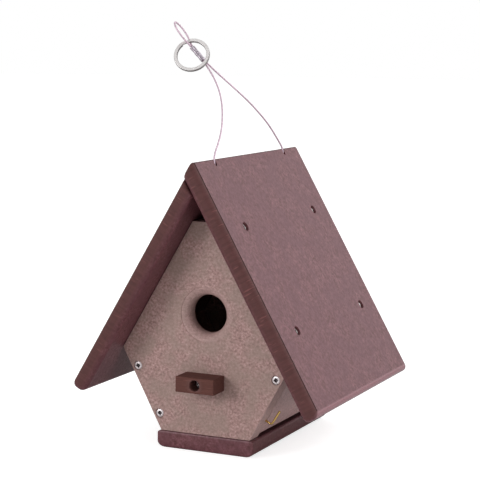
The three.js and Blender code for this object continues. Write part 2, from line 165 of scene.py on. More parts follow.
SIN = math.sin(ROOF_HALF_ANGLE)
COS = math.cos(ROOF_HALF_ANGLE)
TAN = math.tan(ROOF_HALF_ANGLE)
SIN2 = math.sin(2 * ROOF_HALF_ANGLE)
COS2 = math.cos(2 * ROOF_HALF_ANGLE)
PANEL_BOTTOM = FLOOR_THICKNESS + SEAM
CORNER_Z = PANEL_BOTTOM + CORNER_HEIGHT
PANEL_TOP = PANEL_BOTTOM + PANEL_HEIGHT
APEX_Z = CORNER_Z + CORNER_HALF_WIDTH / TAN
RIDGE_Z = APEX_Z + SEAM / SIN
SCREW_ROWS = {"front": FRONT_Y + SCREW_ROW_INSET, "back": BACK_Y - SCREW_ROW_INSET}
SLANT_LENGTH = math.hypot(CORNER_HALF_WIDTH - BOTTOM_HALF_WIDTH, CORNER_HEIGHT)
SLANT_DOWN = Vector((
    (BOTTOM_HALF_WIDTH - CORNER_HALF_WIDTH) / SLANT_LENGTH, 0, -CORNER_HEIGHT / SLANT_LENGTH))
SLANT_OUT = Vector((-SLANT_DOWN.z, 0, SLANT_DOWN.x))
X, Y, Z = Vector((1, 0, 0)), Vector((0, 1, 0)), Vector((0, 0, 1))


def slant_point(down, out):
    """A point in the XZ plane on the right slanted side."""
    return Vector((CORNER_HALF_WIDTH, 0, CORNER_Z)) + SLANT_DOWN * down + SLANT_OUT * out


def down_slope(z):
    """How far down the roof from the ridge line the panels' edge is at a height z."""
    return (APEX_Z - z) / COS + (RIDGE_Z - APEX_Z) * COS


ROOF_SCREWS = {
    "upper": down_slope(PANEL_TOP) + UPPER_ROOF_SCREW,
    "lower": down_slope(CORNER_Z) - LOWER_ROOF_SCREW,
}


def axes(origin, u, v, w):
    """The matrix that takes a piece's own (u, v, w) to the frame's axes."""
    matrix = Matrix((u, v, w)).transposed().to_4x4()
    matrix.translation = origin
    return matrix


def add_object(name, data):
    """Puts a mesh, camera or light in the scene."""
    made = bpy.data.objects.new(name, data)
    bpy.context.scene.collection.objects.link(made)
    return made


# ---------------------------------------------------------------- camera

CAMERA_PLACE = Vector((520.0, -1161.1, 315.6))
CAMERA_YAW = math.radians(24.36)
CAMERA_PITCH = math.radians(7.35)  # downwards
CAMERA_ROLL = math.radians(0.86)
CAMERA_LENS = 124.7


def make_camera():
    data = bpy.data.cameras.new("camera")
    data.lens = CAMERA_LENS
    data.sensor_width = 36
    camera = add_object("camera", data)
    turn = Matrix.Rotation(CAMERA_YAW, 4, "Z")
    turn @= Matrix.Rotation(math.pi / 2 - CAMERA_PITCH, 4, "X")
    turn @= Matrix.Rotation(CAMERA_ROLL, 4, "Z")
    camera.matrix_world = Matrix.Translation(CAMERA_PLACE * MM) @ turn
    bpy.context.scene.camera = camera


make_camera()

# ---------------------------------------------------------------- material helpers


def add_node(tree, kind, settings=None, **inputs):
    """Adds a node. An input named i3 is number 3. Its value is a constant or a socket to join."""
    node = tree.nodes.new(kind)
    for key, value in (settings or {}).items():
        setattr(node, key, value)
    for key, value in inputs.items():
        socket = node.inputs[int(key[1:]) if key[1:].isdigit() else key.replace("_", " ")]
        if isinstance(value, bpy.types.NodeSocket):
            tree.links.new(value, socket)
        else:
            socket.default_value = value
    return node


def new_material(name, **values):
    material = bpy.data.materials.new(name)
    material.use_nodes = True
    shader = material.node_tree.nodes["Principled BSDF"]
    for key, value in values.items():
        shader.inputs[key.replace("_", " ")].default_value = value
    return material, material.node_tree, shader


def mix_colour(tree, factor, a, b):
    settings = {"data_type": "RGBA", "clamp_factor": True}
    node = add_node(tree, "ShaderNodeMix", settings, i0=factor, i6=a, i7=b)
    return node.outputs[2]


def remap(tree, value, low, high, to_low=0.0, to_high=1.0):
    node = add_node(tree, "ShaderNodeMapRange", None, Value=value,
                    From_Min=low, From_Max=high, To_Min=to_low, To_Max=to_high)
    return node.outputs[0]


def maths(tree, operation, a, b):
    return add_node(tree, "ShaderNodeMath", {"operation": operation}, i0=a, i1=b).outputs[0]


def stretched(tree, vector, scale):
    node = add_node(tree, "ShaderNodeVectorMath", {"operation": "MULTIPLY"}, i0=vector, i1=scale)
    return node.outputs[0]


def noise_value(tree, vector, scale, detail=3.0, roughness=0.55):
    node = add_node(tree, "ShaderNodeTexNoise", None, Vector=vector, Scale=scale, Detail=detail,
                    Roughness=roughness)
    return node.outputs[0]


def linear(red, green, blue):
    """An sRGB colour out of 255 as linear values."""
    parts = [c / 255 for c in (red, green, blue)]
    return tuple(c / 12.92 if c < 0.04045 else ((c + 0.055) / 1.055) ** 2.4 for c in parts) + (1,)


# ---------------------------------------------------------------- materials


def attribute(tree, name, output="Fac"):
    return add_node(tree, "ShaderNodeAttribute", {"attribute_name": name}).outputs[output]


def shaded(colour, share):
    """A colour darkened or lightened by a share, and no brighter than white."""
    return tuple(min(1, share * c) for c in colour[:3]) + (1,)


def flecked_face(tree, board, grain, fleck, face, fleck_dark, fleck_light, blotch):
    """The colour of a board's face: dark and light flecks, pepper and faint clouds."""
    pepper = noise_value(tree, stretched(tree, board, (1.15, 0.9, 1.0)), 1.3 / fleck, 2.0, 0.5)
    clouds = noise_value(tree, board, 0.06, 3.0, 0.55)
    colour = mix_colour(tree, remap(tree, grain, 0.5, 0.3), face, fleck_dark)
    colour = mix_colour(tree, remap(tree, grain, 0.5, 0.7), colour, fleck_light)
    colour = mix_colour(tree, remap(tree, pepper, 0.55, 0.72, 0.0, 0.4), colour, fleck_dark)
    return mix_colour(tree, remap(tree, clouds, 0.4, 0.6, 0.0, 0.6), colour, blotch)


def cut_face(tree, board, grain, saw, cut, streak):
    """The colour where a board is sawn or routed: streaks across it and a few pale nicks."""
    dark, light, pale = shaded(cut, 0.84), shaded(cut, 1.14), shaded(cut, 2.2)
    colour = mix_colour(tree, remap(tree, saw, 0.52, 0.34), cut, dark)
    colour = mix_colour(tree, remap(tree, saw, 0.52, 0.7), colour, light)
    colour = mix_colour(tree, remap(tree, grain, 0.45, 0.3, 0.0, 0.5), colour, dark)
    finer = tuple(1.6 * c for c in streak)
    nick = noise_value(tree, stretched(tree, board, finer), 1.0, 1.0, 0.4)
    return mix_colour(tree, remap(tree, nick, 0.66, 0.74, 0.0, 0.6), colour, pale)


def plastic_lumber(name, face, fleck_dark, fleck_light, blotch, cut, streak, fleck, rough,
                   gleam=0.5):
    """Solid recycled-plastic board. Its grain follows the board's own axes, in millimetres.

    The edge attribute is 0 on a face and 1 where it is cut. Below 0 it is smoother and painted paler as a
    highlight, and at 1.5 it is painted dark as the shade at the foot of a shoulder.
    """
    material, tree, shader = new_material(name, IOR=1.49)
    board = attribute(tree, "board", "Vector")
    edge = attribute(tree, "edge")
    grain = noise_value(tree, board, 0.5 / fleck, 4.0, 0.66)
    saw = noise_value(tree, stretched(tree, board, streak), 1.0, 3.0, 0.6)

    colour = mix_colour(
        tree, edge, flecked_face(tree, board, grain, fleck, face, fleck_dark, fleck_light, blotch),
        cut_face(tree, board, grain, saw, cut, streak))
    # Painted highlight: paler where the edge attribute is below 0, as along the roofs' eaves
    colour = mix_colour(tree, remap(tree, edge, -0.1, -0.7), colour, fleck_light)
    # Painted shade: dark at the foot of a shoulder
    colour = mix_colour(tree, remap(tree, edge, 1.0, 1.5), colour, shaded(cut, 0.35))
    tree.links.new(colour, shader.inputs["Base Color"])

    shine = remap(tree, edge, 0.0, 1.0, gleam, 0.65 * gleam)
    tree.links.new(shine, shader.inputs["Specular IOR Level"])
    gloss = remap(tree, grain, 0.3, 0.7, rough + 0.06, rough - 0.06)
    matt = maths(tree, "MULTIPLY", edge, 0.22)
    tree.links.new(maths(tree, "ADD", gloss, matt), shader.inputs["Roughness"])
    pits = maths(tree, "MULTIPLY", grain, 0.6)
    height = maths(tree, "ADD", pits, maths(tree, "MULTIPLY", saw, edge))
    bump = add_node(tree, "ShaderNodeBump", None, Strength=0.35, Distance=0.00025, Height=height)
    tree.links.new(bump.outputs[0], shader.inputs["Normal"])
    return material


def worn_metal(name, colour, dark, rough, scale=0.6, metallic=1.0):
    """Bare or plated metal with a fine unevenness. It is painted darker and made rougher where its mask
    is set: as shade in a screw's drive and as dark reflection along a ring's rims; a screw's shank is
    darkened the same way.
    """
    material, tree, shader = new_material(name, Metallic=metallic)
    painted_shade = attribute(tree, "painted_shade")
    place = add_node(tree, "ShaderNodeTexCoord").outputs["Object"]
    stain = noise_value(tree, place, scale * 1000, 3.0, 0.6)
    clean = mix_colour(tree, remap(tree, stain, 0.5, 0.72, 0.0, 0.6), colour, dark)
    # Painted shade: darker where the mask is set
    colour = mix_colour(tree, painted_shade, clean, shaded(dark, 0.25))
    tree.links.new(colour, shader.inputs["Base Color"])
    gloss = remap(tree, stain, 0.3, 0.7, rough - 0.05, rough + 0.12)
    matt = maths(tree, "MULTIPLY", painted_shade, 0.4)
    tree.links.new(maths(tree, "ADD", gloss, matt), shader.inputs["Roughness"])
    bump = add_node(tree, "ShaderNodeBump", None, Strength=0.15, Distance=0.0001, Height=stain)
    tree.links.new(bump.outputs[0], shader.inputs["Normal"])
    return material


TAN_BOARD = plastic_lumber(
    "tan_board", face=linear(172, 136, 131), fleck_dark=linear(126, 98, 93),
    fleck_light=linear(202, 168, 163), blotch=linear(156, 134, 124),
    cut=linear(180, 150, 146), streak=(0.08, 0.9, 0.9), fleck=0.9, rough=0.55)
DOOR_BOARD = plastic_lumber(
    "door_board", face=linear(194, 158, 156), fleck_dark=linear(146, 118, 114),
    fleck_light=linear(214, 182, 180), blotch=linear(178, 148, 146),
    cut=linear(184, 154, 150), streak=(0.9, 0.06, 0.9), fleck=0.9, rough=0.45)
# Its face is lighter and pinker than its cut: the board's own colour with a painted sheen on top
BROWN_BOARD = plastic_lumber(
    "brown_board", face=linear(112, 68, 73), fleck_dark=linear(84, 46, 46),
    fleck_light=linear(138, 90, 98), blotch=linear(104, 62, 70),
    cut=linear(90, 54, 53), streak=(0.45, 0.05, 0.05), fleck=1.1, rough=0.42, gleam=0.4)
PERCH_BOARD = plastic_lumber(
    "perch_board", face=linear(98, 62, 56), fleck_dark=linear(80, 44, 38),
    fleck_light=linear(112, 70, 64), blotch=linear(104, 70, 68),
    cut=linear(98, 62, 56), streak=(0.05, 1.2, 1.2), fleck=0.9, rough=0.6, gleam=0.3)
BRIGHT_SCREW = worn_metal("bright_screw", linear(244, 234, 236), linear(190, 176, 180), 0.3, 0.6, 0.6)
DARK_SCREW = worn_metal("dark_screw", linear(216, 206, 204), linear(120, 104, 100), 0.28, 0.6, 0.7)
BRASS = worn_metal("brass", linear(232, 196, 120), linear(150, 108, 52), 0.2)
CABLE = worn_metal("cable_steel", linear(214, 190, 204), linear(160, 138, 148), 0.45, 1.0, 0.4)
SLEEVE = worn_metal("sleeve_aluminium", linear(196, 186, 196), linear(120, 108, 114), 0.4)
RING = worn_metal("ring_nickel", linear(255, 251, 250), linear(214, 206, 204), 0.2, 0.3, 0.5)

# ---------------------------------------------------------------- mesh helpers


EDGE_ANGLE = 38.0  # degrees between two faces, beyond which their edge shows sharp


def make_piece(name, points, faces, material, body, slot, replaces, sharp=EDGE_ANGLE, edges=None,
               boards=None, painted_shades=None, matrix=None):
    """Turns points in millimetres and their faces into a piece that rides on a CAD body."""
    mesh = bpy.data.meshes.new(name)
    place = matrix or Matrix.Identity(4)
    mesh.from_pydata([(place @ Vector(p)) * MM for p in points], [], faces)
    if edges is not None:
        mesh.attributes.new("edge", "FLOAT", "POINT").data.foreach_set("value", edges)
        flat = [c for p in boards for c in p]
        mesh.attributes.new("board", "FLOAT_VECTOR", "POINT").data.foreach_set("vector", flat)
    if painted_shades is not None:
        mesh.attributes.new("painted_shade", "FLOAT", "POINT").data.foreach_set("value", painted_shades)
    tidy = bmesh.new()
    tidy.from_mesh(mesh)
    bmesh.ops.recalc_face_normals(tidy, faces=tidy.faces)
    tidy.to_mesh(mesh)
    tidy.free()
    piece = add_object(name, mesh)
    mesh.materials.append(material)
    smooth(piece, sharp)
    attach(piece, body)
    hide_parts(*replaces)
    return piece


def smooth(piece, sharp):
    piece.data.shade_smooth()
    piece.data.set_sharp_from_angle(angle=math.radians(sharp))
    weights = piece.modifiers.new("weighted", "WEIGHTED_NORMAL")
    weights.keep_sharp = True


def circle(radius, count, centre=(0, 0)):
    turns = [2 * math.pi * k / count for k in range(count)]
    return [Vector((centre[0] + radius * math.cos(t), centre[1] + radius * math.sin(t)))
            for t in turns]


def strip(lower, upper):
    """Quads between two closed rings of point numbers."""
    count = len(lower)
    return [(lower[k], lower[(k + 1) % count], upper[(k + 1) % count], upper[k])
            for k in range(count)]


def skin(rings):
    """Quads over rings of point numbers, from the first ring to the last."""
    return [face for lower, upper in zip(rings, rings[1:]) for face in strip(lower, upper)]


def add_ring(points, shape):
    """Adds a ring's points, and gives their numbers."""
    start = len(points)
    points.extend(shape)
    return list(range(start, len(points)))


def within(polygon, at):
    """True if a point lies in a closed outline, by counting the sides that it sees along x."""
    odd = False
    for k, a in enumerate(polygon):
        b = polygon[k - 1]
        if (a.y > at.y) != (b.y > at.y) and at.x < a.x + (at.y - a.y) * (b.x - a.x) / (b.y - a.y):
            odd = not odd
    return odd


def inner_points(border, circles, cell):
    """Grid points half a cell or more inside a convex border and outside its circles."""
    low = [min(p[i] for p in border) for i in (0, 1)]
    high = [max(p[i] for p in border) for i in (0, 1)]
    sides = [(a, (b - a).normalized()) for a, b in zip(border, border[1:] + border[:1])
             if (b - a).length > 0.01]
    found = []
    for i in range(1, int((high[0] - low[0]) / cell) + 1):
        for j in range(1, int((high[1] - low[1]) / cell) + 1):
            at = Vector((low[0] + i * cell, low[1] + j * cell))
            if any((at - c).length < r + 0.5 * cell for c, r in circles):
                continue
            if all(way.cross(at - a) > 0.5 * cell for a, way in sides):
                found.append(at)
    return found


def fill(points, outer, inner, cell, add_point):
    """Triangles over a flat convex face with round holes, given as (ring, centre, radius).

    A cell of 0 adds no grid of points. Thin triangles that the triangulation makes along the flats
    of a hole are kept, and those inside a hole or outside the outline are left out.
    """
    border = [Vector(points[k][:2]) for k in outer]
    flat, numbers = list(border), list(outer)
    joins = [(k, (k + 1) % len(outer)) for k in range(len(outer))]
    for ring, _, _ in inner:
        start = len(flat)
        joins += [(start + k, start + (k + 1) % len(ring)) for k in range(len(ring))]
        flat += [Vector(points[k][:2]) for k in ring]
        numbers += ring
    if cell:
        for at in inner_points(border, [(Vector(c), r) for _, c, r in inner], cell):
            flat.append(at)
            numbers.append(add_point(at))
    _, _, made, origins, _, _ = delaunay_2d_cdt(flat, joins, [], 0, CLOSE, True)
    faces = []
    for face in made:
        corners = [origins[k][0] for k in face]
        x, y = (sum(flat[k][i] for k in corners) / 3 for i in (0, 1))
        bored = False
        for ring, centre, radius in inner:
            reach = radius * math.cos(1.35 * math.pi / len(ring))  # just inside the ring's flats
            bored = bored or math.hypot(x - centre[0], y - centre[1]) < reach
        outline_only = all(k < len(outer) for k in corners)
        if not bored and (not outline_only or within(border, Spot(x, y))):
            faces.append(tuple(numbers[k] for k in corners))
    return faces


def inset_outline(corners, insets):
    """A convex outline with each side moved in by its own inset."""
    count = len(corners)
    lines = []
    for k in range(count):
        along = (corners[(k + 1) % count] - corners[k]).normalized()
        lines.append((corners[k] + Vector((-along.y, along.x)) * insets[k], along))
    found = []
    for k in range(count):
        (p, d), (q, e) = lines[k - 1], lines[k]
        found.append(p + d * ((q - p).cross(e) / d.cross(e)))
    return found


CORNER_STEPS = 4


def outline_loop(corners, radius, counts):
    """Points round an outline with rounded corners.

    Each is (place, way out, side, that side's share against the side before it, distance along).
    """
    number = len(corners)
    ways = [(corners[(k + 1) % number] - corners[k]).normalized() for k in range(number)]
    reach = []
    for k in range(number):
        turn = ways[k - 1].angle_signed(ways[k])
        reach.append(radius * math.tan(abs(turn) / 2))
    loop = []
    for k in range(number):
        before, after = ways[k - 1], ways[k]
        turn = abs(before.angle_signed(after))
        centre = corners[k] - before * reach[k] + Vector((-before.y, before.x)) * radius
        for step in range(CORNER_STEPS + 1):
            part = step / CORNER_STEPS
            out = Matrix.Rotation(turn * part, 2) @ Vector((before.y, -before.x))
            # Under 1 even at the arc's end, so that no mark is cut in a corner
            loop.append((centre + out * radius, out, k, 0.9 * part, 0.0))
        start = corners[k] + after * reach[k]
        end = corners[(k + 1) % number] - after * reach[(k + 1) % number]
        for step in range(1, counts[k] + 1):
            share = step / (counts[k] + 1)
            loop.append((start.lerp(end, share), Vector((after.y, -after.x)), k, 1.0,
                         share * (end - start).length))
    return loop


FACE_MARGIN = 0.45  # a flat strip inside each rounded edge
SHOULDER_WIDTH = 0.2
FOOT_EDGE = 1.5  # the edge attribute's value at the foot of a shoulder, where it paints shade


def rounded_profile(thickness, low, high, shoulder=0.0, steps=6):
    """(inset, height, edge) up a board's side, rounded over by low below and by high above."""
    quarter = [math.pi / 2 * k / steps for k in range(steps + 1)]
    profile = [(low + FACE_MARGIN, 0.0, 0.0)]
    profile += [(low * (1 - math.sin(a)), low * (1 - math.cos(a)), (k / steps) ** 1.5)
                for k, a in enumerate(quarter)]
    top = thickness - shoulder
    profile += [(0.0, low + (top - high - low) * share, 1.0) for share in (1 / 3, 2 / 3)]
    profile += [(high * (1 - math.cos(a)), top - high * (1 - math.sin(a)), 1.0) for a in quarter]
    foot = profile.pop()
    if shoulder:
        # The shoulder's foot gets the edge value that paints it dark as shade
        profile.append((*foot[:2], FOOT_EDGE))
        profile.append((high + 0.06, thickness - 0.2 * shoulder, FOOT_EDGE))
        profile.append((high + SHOULDER_WIDTH, thickness, 0.3))
        high += SHOULDER_WIDTH
    else:
        profile.append((*foot[:2], 0.0))
    profile.append((high + FACE_MARGIN, thickness, 0.0))
    return profile


def board(name, matrix, outline, profile, material, body, slot, holes=(), sides=None,
          corner=0.5, spacing=2.0, cell=5.0, wave=0.06, marks=None, side_grain=None,
          face_cut=0.0, cut_and_sheen=None):
    """A board with rounded edges, bored holes and a slightly uneven face.

    outline(w) gives its corners at a height w, and profile says how far each side is set in there,
    times the side's share in sides. marks(side, along, w) gives how deep a cutter's mark is.
    The last argument gives each side's part in the edge attribute; below 0 it paints that side paler as a
    highlight. The bottom face is at w = 0.
    """
    points, edges = [], []

    def add_point(place, w, edge):
        points.append((place[0], place[1], w))
        edges.append(edge)
        return len(points) - 1

    def face_point(w):
        def add_here(at):
            bow = wave * noise.noise(Vector((at.x / 23, at.y / 23, w + len(name))))
            inward = -(wave + bow) if w else wave + bow
            return add_point(at, w + inward, face_cut)
        return add_here

    number = len(outline(0.0))
    rings = side_rings(outline, profile, sides or [1.0] * number, cut_and_sheen or [1.0] * number,
                       corner, spacing, marks, face_cut, add_point)
    thickness = profile[-1][1]
    walls, tops, bottoms = bored_holes(holes, thickness, add_point)
    faces = skin(rings) + walls
    faces += fill(points, rings[-1], tops, cell, face_point(thickness))
    faces += fill(points, rings[0], bottoms, cell, face_point(0.0))
    boards = points if side_grain is None else [side_grain(p) for p in points]
    return make_piece(name, points, faces, material, body, slot, [name.removesuffix("_skin")],
                      edges=edges, boards=boards, matrix=matrix)


def side_rings(outline, profile, sides, cut_and_sheen, corner, spacing, marks, face_cut, add_point):
    """Rings of points up a board's side, all with the same number of points."""
    base = outline(profile[len(profile) // 2][1])
    counts = [max(1, int((b - a).length / spacing)) for a, b in zip(base, base[1:] + base[:1])]
    rings = []
    for inset, w, edge in profile:
        corners = inset_outline(outline(w), [inset * s for s in sides])
        ring = []
        loop = outline_loop(corners, max(corner - 0.5 * inset, 0.15), counts)
        for place, out, side, share, along in loop:
            look = edge * (cut_and_sheen[side - 1] * (1 - share) + cut_and_sheen[side] * share)
            depth = marks(side, along, w) * max(look, 0) if marks and share == 1 else 0.0
            ring.append(add_point(place - out * depth, w, face_cut or look))
        rings.append(ring)
    return rings


def bored_holes(holes, thickness, add_point):
    """The walls of round holes, and their rims in the two faces as fill() takes them."""
    walls, tops, bottoms = [], [], []
    for hole in holes:
        look, count, at = hole.get("edge", 0.5), hole.get("count", 32), hole["at"]
        ends = []
        for radius, w in hole["profile"]:
            edge = look if w < thickness else 0.0
            ends.append([add_point(p, w, edge) for p in circle(radius, count, at)])
        walls += skin(ends)
        first, last = hole["profile"][0], hole["profile"][-1]
        tops.append((ends[0], at, first[0]))
        if last[1] <= 0:
            bottoms.append((ends[-1], at, last[0]))
        else:
            walls.append(tuple(ends[-1]))
    return walls, tops, bottoms


def sweep(points, section):
    """A tube with closed ends. section(k, distance) gives its outline at the path's point k."""
    count = len(points)
    tangents = [(points[min(k + 1, count - 1)] - points[max(k - 1, 0)]).normalized()
                for k in range(count)]
    normal = tangents[0].orthogonal().normalized()
    made, rings, distance = [], [], 0.0
    for k in range(count):
        if k:
            normal = tangents[k - 1].rotation_difference(tangents[k]) @ normal
            normal = (normal - tangents[k] * normal.dot(tangents[k])).normalized()
            distance += (points[k] - points[k - 1]).length
        across = tangents[k].cross(normal)
        outline = [points[k] + normal * a + across * b for a, b in section(k, distance)]
        rings.append(add_ring(made, outline))
    return made, skin(rings) + [tuple(rings[0]), tuple(rings[-1])]


def turned(profile, count=32):
    """A solid of revolution about w from (radius, w) pairs. A zero radius is a point."""
    points, faces, rings = [], [], []
    for radius, w in profile:
        shape = circle(radius, count) if radius else [Vector((0, 0))]
        rings.append(add_ring(points, [(p.x, p.y, w) for p in shape]))
    for lower, upper in zip(rings, rings[1:]):
        if len(lower) == 1:
            faces += [(lower[0], upper[k], upper[(k + 1) % count]) for k in range(count)]
        elif len(upper) == 1:
            faces += [(upper[0], lower[k], lower[(k + 1) % count]) for k in range(count)]
        else:
            faces += strip(lower, upper)
    return points, faces


# ---------------------------------------------------------------- hanger


def smooth_route(points, step):
    """A centripetal Catmull-Rom curve through points, as in the CAD source, about step apart."""
    ends = [2 * points[0] - points[1], *points, 2 * points[-1] - points[-2]]
    route = [points[0]]
    for p0, p1, p2, p3 in zip(ends, ends[1:], ends[2:], ends[3:]):
        t0, t1, t2 = ((b - a).length ** 0.5 for a, b in ((p0, p1), (p1, p2), (p2, p3)))
        start = ((p1 - p0) / t0 - (p2 - p0) / (t0 + t1) + (p2 - p1) / t1) * t1
        end = ((p2 - p1) / t1 - (p3 - p1) / (t1 + t2) + (p3 - p2) / t2) * t1
        count = max(1, round((p2 - p1).length / step))
        for k in range(1, count + 1):
            t = k / count
            route.append(p1 + start * t + (3 * (p2 - p1) - 2 * start - end) * t ** 2
                         + (2 * (p1 - p2) + start + end) * t ** 3)
    return route


def hanger_route():
    """Up the front strand, round the eye and down the back strand, its mirror image."""
    up = [Vector((x, WIRE_MIDDLE_Y - half, z)) for x, half, z in STRAND]
    down = [Vector((x, WIRE_MIDDLE_Y + half, z)) for x, half, z in reversed(STRAND[:-1])]
    return smooth_route(up + down, 0.8)


def make_cable(route):
    """Strands laid round a core, seen as twisted lobes."""
    around = 30

    def section(_, distance):
        twist = 2 * math.pi * distance / WIRE_LAY
        pairs = []
        for k in range(around):
            angle = 2 * math.pi * k / around
            lobe = abs(math.cos(WIRE_LOBES / 2 * (angle - twist)))
            radius = WIRE_RADIUS * (1 - WIRE_GROOVE * (1 - lobe))
            pairs.append((radius * math.cos(angle), radius * math.sin(angle)))
        return pairs

    points, faces = sweep(route, section)
    return make_piece("hanger_cable", points, faces, CABLE, "house", "cable_steel",
                      ["hanger_wire"], sharp=80)


def make_sleeve():
    """An oval sleeve pressed twice over both strands."""
    first, last = (Vector((x, WIRE_MIDDLE_Y, z))
                   for x, _, z in (STRAND[SLEEVE_FIRST], STRAND[SLEEVE_LAST]))
    along = (last - first).normalized()
    matrix = axes((first + last) / 2 - along * SLEEVE_LENGTH / 2, Y, along.cross(Y), along)
    around, length = 48, SLEEVE_LENGTH
    points, rings = [], []

    def ring_at(shape, w):
        rings.append(add_ring(points, [(p[0], p[1], w) for p in shape]))

    steps = 60
    for k in range(steps + 1):
        w = length * k / steps
        ease = 0.25 * max(0.0, 1 - min(w, length - w) / 0.4) ** 2
        press = sum(math.exp(-((w - c * length) / SLEEVE_BAND_HALF_LENGTH) ** 4)
                    for c in SLEEVE_BANDS)
        a = SLEEVE_HALF_WIDTH - ease - 0.12 * press
        b = SLEEVE_HALF_THICKNESS - ease - 0.22 * press
        ring_at([(a * p.x, b * p.y) for p in circle(1, around)], w)
    faces = skin(rings)
    bores = []
    for side in (-1, 1):
        centre = (side * SLEEVE_BORE_OFFSET, 0)
        ends = []
        for radius, w in ((SLEEVE_BORE_RADIUS, 0), (SLEEVE_BORE_RADIUS, length)):
            ring_at(circle(radius, 20, centre), w)
            ends.append(rings[-1])
        faces += strip(*ends)
        bores.append((ends, centre))
    for which, ring in ((0, rings[0]), (1, rings[steps])):
        inner = [(ends[which], centre, SLEEVE_BORE_RADIUS) for ends, centre in bores]
        faces += fill(points, ring, inner, 0, None)
    return make_piece("crimped_sleeve", points, faces, SLEEVE, "house", "sleeve_aluminium",
                      ["crimp_sleeve"], matrix=matrix)


def make_stop(end, name):
    """A ferrule pressed on the cable's end, with a waist where the tool gripped it."""
    x, half, z = STRAND[0]
    top, r = -SEAM, STOP_RADIUS
    profile = [(0, top - STOP_LENGTH), (r - 0.6, top - STOP_LENGTH), (r - 0.15, top - STOP_LENGTH + 0.15),
               (r, top - STOP_LENGTH + 0.6), (r, top - 5.4), (r - 0.3, top - 5.0),
               (r - 0.3, top - 3.0), (r, top - 2.6), (r, top - 0.6), (r - 0.15, top - 0.15),
               (r - 0.6, top), (0, top)]
    points, faces = turned(profile)
    matrix = Matrix.Translation((x, WIRE_MIDDLE_Y + end * half, z))
    return make_piece(f"{name}_ferrule", points, faces, SLEEVE, "house", "sleeve_aluminium",
                      [name], matrix=matrix)


def make_ring():
    """A split ring: flat spring wire wound into two turns that lie on each other."""
    middle = (RING_OUTER + RING_INNER) / 2
    half_band = (RING_OUTER - RING_INNER) / 2
    half_coil = RING_THICKNESS / 4 - RING_COIL_GAP / 2
    normal = RING_PIVOT.cross(RING_HANG).normalized()
    across = normal.cross(RING_HANG)
    centre = RING_TOP + RING_HANG * middle
    steps = 288
    section = []
    for sx, sy, first in ((1, 1, 0), (-1, 1, 90), (-1, -1, 180), (1, -1, 270)):
        for k in range(4):
            angle = math.radians(first + 30 * k)
            section.append((sx * (half_band - RING_EASE) + RING_EASE * math.cos(angle),
                            sy * (half_coil - RING_EASE) + RING_EASE * math.sin(angle)))
    points, rings, painted_shades = [], [], []
    for k in range(steps + 1):
        turn = (4 * math.pi - RING_JOG) * k / steps
        share = min(1, max(0, (turn - (2 * math.pi - RING_JOG)) / RING_JOG))
        lift = (share * share * (3 - 2 * share) * 2 - 1) * (half_coil + RING_COIL_GAP / 2)
        angle = RING_START + turn
        out = RING_HANG * math.cos(angle) + across * math.sin(angle)
        rings.append(add_ring(points, [centre + out * (middle + r) + normal * (lift + a)
                                       for r, a in section]))
        # Painted dark reflection: darker towards the band's inner and outer rims
        painted_shades += [max(0.0, abs(r) / half_band - 0.6) / 0.4 for r, _ in section]
    faces = skin(rings) + [tuple(rings[0]), tuple(rings[-1])]
    return make_piece("split_ring_coil", points, faces, RING, "ring", "ring_steel",
                      ["split_ring"], painted_shades=painted_shades)


route = hanger_route()
cable = make_cable(route)
sleeve = make_sleeve()
stops = [make_stop(-1, "wire_stop_front"), make_stop(1, "wire_stop_back")]
ring = make_ring()
exit_x, exit_half, exit_z = STRAND[EXIT_POINT]
cable_length = sum((b - a).length for a, b in zip(route, route[1:]))

# ---------------------------------------------------------------- screws


def square(half, count):
    """A square outline with as many points as a circle, to join to one."""
    points = []
    for k in range(count):
        a = 2 * math.pi * k / count
        reach = half / max(abs(math.cos(a)), abs(math.sin(a)))
        points.append(Vector((reach * math.cos(a), reach * math.sin(a))))
    return points


def recess_profile(spec, thickness, through=True):
    """The hole a screw's head sits in, from the board's face down, and its shank's clearance."""
    seat = thickness - spec["deep"] - spec["high"] - SEAM
    ease = min(0.35, spec["deep"] * 0.6)
    profile = [(spec["recess"] + ease, thickness), (spec["recess"], thickness - ease),
               (spec["recess"], seat)]
    if through:
        profile += [(spec["shank"] + SEAM, seat), (spec["shank"] + SEAM, 0.0)]
    return profile


def make_screw(name, spec, place, outwards, material, body, slot, dome=0.0):
    """A square-drive screw. Its w axis points out of its head, and dome is how far that bulges."""
    count = 32
    head, high, shank = spec["head"], spec["high"], spec["shank"]
    half = DRIVE_SIZE / 2
    shapes = [(square(half * 0.82, count), -DRIVE_DEPTH), (square(half * 0.98, count), -0.2),
              (square(half * 1.1, count), 0.0)]
    # Over the head's dome and rim, down its side, and along the shank to the point
    shapes += [(circle(r, count), w) for r, w in (
        (head * 0.62, dome * 0.6), (head - 0.75, -0.02), (head - 0.3, -0.12), (head - 0.05, -0.4),
        (head, -0.75), (head - 0.1, -high + 0.35), (head - 0.5, -high), (shank, -high),
        (shank, 2 * shank - spec["length"]), (0.25, -spec["length"]))]
    points, rings, painted_shades = [], [], []
    for k, (shape, w) in enumerate(shapes):
        rings.append(add_ring(points, [(p.x, p.y, w) for p in shape]))
        in_drive, on_shank = k < 2, k > 9
        # The drive is painted dark as shade, and the shank is darkened the same way
        painted_shades += [1.0 if in_drive or on_shank else 0.0] * count
    faces = skin(rings) + [tuple(rings[0]), tuple(rings[-1])]
    turn = Z.rotation_difference(outwards).to_matrix().to_4x4()
    spin = Matrix.Rotation(0.7 * len(name) + place.y, 4, "Z")
    matrix = Matrix.Translation(place - outwards * spec["deep"]) @ turn @ spin
    return make_piece(f"{name}_detail", points, faces, material, body, slot, [name],
                      painted_shades=painted_shades, matrix=matrix)


